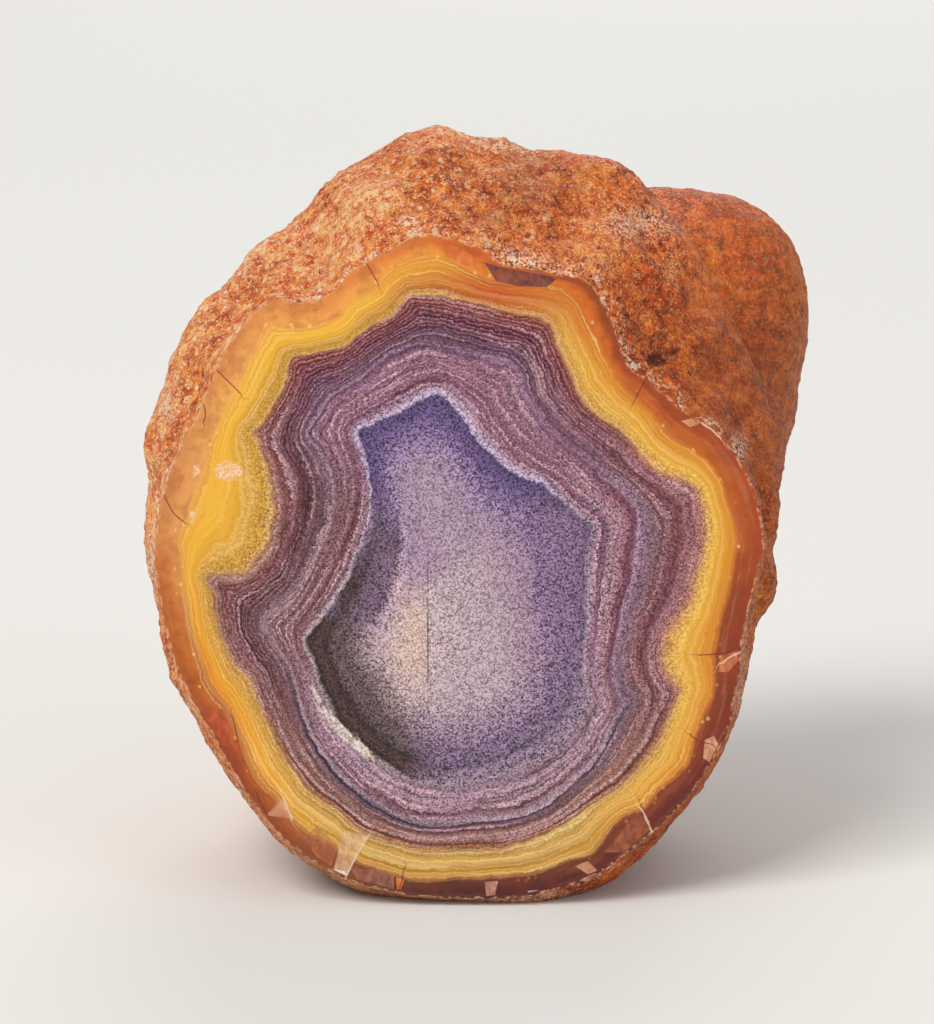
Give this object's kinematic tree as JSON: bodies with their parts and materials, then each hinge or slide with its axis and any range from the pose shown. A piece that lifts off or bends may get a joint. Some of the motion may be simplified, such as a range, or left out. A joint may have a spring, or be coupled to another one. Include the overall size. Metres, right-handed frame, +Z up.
{
  "type": "half agate nodule",
  "caption": "Half of an agate nodule standing on a small ground flat: a sawn, polished face with nested colour bands in a rough sugary rind, with a rounded knob at the back.",
  "frame": {"origin": "middle of the stone's bounding box in plan, at the level of the ground flat it stands on", "axes": "+Z up; the polished face looks along -Y and leans back 12 degrees from upright; +X is to the right as the face is seen"},
  "size_m": [0.0702, 0.0552, 0.0751],
  "materials": {
    "stone": "rough iron-stained rind with one polished, banded face"
  },
  "bodies": {
    "root": {"agate": "stone"}
  },
  "joints": []
}
